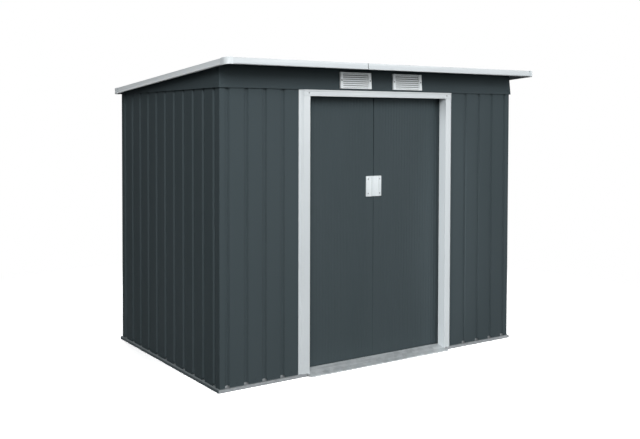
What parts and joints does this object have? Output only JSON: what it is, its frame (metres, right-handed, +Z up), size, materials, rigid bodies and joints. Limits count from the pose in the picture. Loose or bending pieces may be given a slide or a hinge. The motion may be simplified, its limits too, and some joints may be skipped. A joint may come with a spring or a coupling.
{
  "type": "metal storage shed",
  "caption": "Garden storage shed of pressed anthracite steel sheet with a single-slope roof, white trim and louvred vents, and sliding doors that open to the sides.",
  "frame": {"origin": "on the ground, under the middle of the roof's outline", "axes": "+X along the front to the right as one faces the doors, +Y from the doors to the back, +Z up"},
  "size_m": [2.115, 1.3526, 1.619],
  "materials": {
    "anthracite_painted_steel": "satin coil-coated anthracite grey",
    "white_painted_steel": "satin coil-coated off-white",
    "galvanised_steel": "dull hot-dip galvanised",
    "white_plastic": "moulded, matt off-white",
    "nylon_glides": "moulded, matt black"
  },
  "bodies": {
    "shell": {"front_floor_rail_left": "galvanised_steel", "front_floor_rail_right": "galvanised_steel", "left_floor_rail": "anthracite_painted_steel", "right_floor_rail": "anthracite_painted_steel", "back_floor_rail": "anthracite_painted_steel", "bottom_door_track": "galvanised_steel", "door_sill": "galvanised_steel", "front_left_wall": "anthracite_painted_steel", "front_right_wall": "anthracite_painted_steel", "left_wall_front": "anthracite_painted_steel", "left_wall_back": "anthracite_painted_steel", "right_wall_front": "anthracite_painted_steel", "right_wall_back": "anthracite_painted_steel", "back_wall_left": "anthracite_painted_steel", "back_wall_right": "anthracite_painted_steel", "front_frieze": "anthracite_painted_steel", "left_gable": "anthracite_painted_steel", "right_gable": "anthracite_painted_steel", "left_top_rail": "galvanised_steel", "right_top_rail": "galvanised_steel", "back_top_rail": "galvanised_steel", "top_door_track": "galvanised_steel", "wall_braces": "galvanised_steel", "roof_beams": "galvanised_steel", "left_roof_panel": "anthracite_painted_steel", "middle_roof_panel": "anthracite_painted_steel", "right_roof_panel": "anthracite_painted_steel", "front_roof_trim_left": "white_painted_steel", "front_roof_trim_right": "white_painted_steel", "left_roof_trim": "white_painted_steel", "right_roof_trim": "white_painted_steel", "back_roof_trim": "white_painted_steel", "roof_corner_caps": "white_plastic", "left_door_jamb": "white_painted_steel", "right_door_jamb": "white_painted_steel", "door_header": "white_painted_steel", "left_vent": "white_plastic", "right_vent": "white_plastic"},
    "left_door": {"left_door_panel": "anthracite_painted_steel", "left_door_stiffeners": "galvanised_steel", "left_door_handle": "white_plastic", "left_door_glides": "nylon_glides"},
    "right_door": {"right_door_panel": "anthracite_painted_steel", "right_door_stiffeners": "galvanised_steel", "right_door_handle": "white_plastic", "right_door_glides": "nylon_glides"}
  },
  "joints": [
    {"name": "left_door_slide", "type": "slide", "parent": "shell", "child": "left_door", "axis": [-1, 0, 0], "range_m": [0, 0.41]},
    {"name": "right_door_slide", "type": "slide", "parent": "shell", "child": "right_door", "axis": [1, 0, 0], "range_m": [0, 0.41]}
  ]
}
